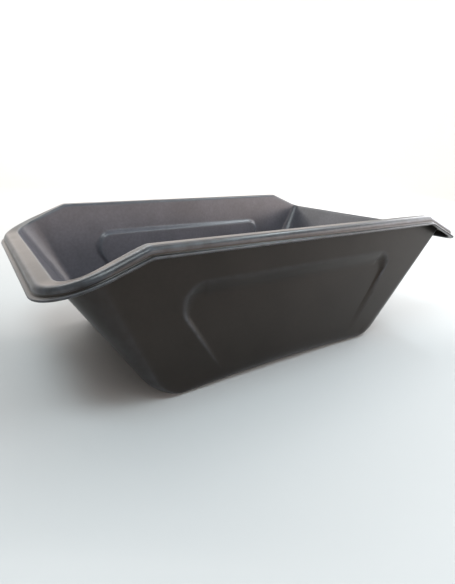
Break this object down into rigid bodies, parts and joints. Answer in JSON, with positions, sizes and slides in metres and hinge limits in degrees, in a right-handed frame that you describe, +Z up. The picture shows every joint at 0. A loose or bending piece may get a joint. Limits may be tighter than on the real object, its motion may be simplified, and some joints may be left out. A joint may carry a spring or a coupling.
{
  "type": "mortar mixing tub",
  "caption": "Barrow-shaped moulded plastic mixing tub with sloping ends, a low pouring lip, a rolled skirt rim and a pressed panel in each side wall.",
  "frame": {"origin": "on the ground plane under the middle of the tub's bounding box", "axes": "+X runs along the tub from the low pouring lip to the rear lip, +Y to the right of a person standing behind the tub and facing the pouring lip, +Z up"},
  "size_m": [1.038, 0.666, 0.33],
  "materials": {
    "tub_plastic": "satin, finely grained moulded plastic"
  },
  "bodies": {
    "root": {"floor": "tub_plastic", "front_wall": "tub_plastic", "rear_wall": "tub_plastic", "left_wall": "tub_plastic", "right_wall": "tub_plastic", "pouring_lip": "tub_plastic", "rear_lip": "tub_plastic", "left_rim": "tub_plastic", "right_rim": "tub_plastic"}
  },
  "joints": []
}
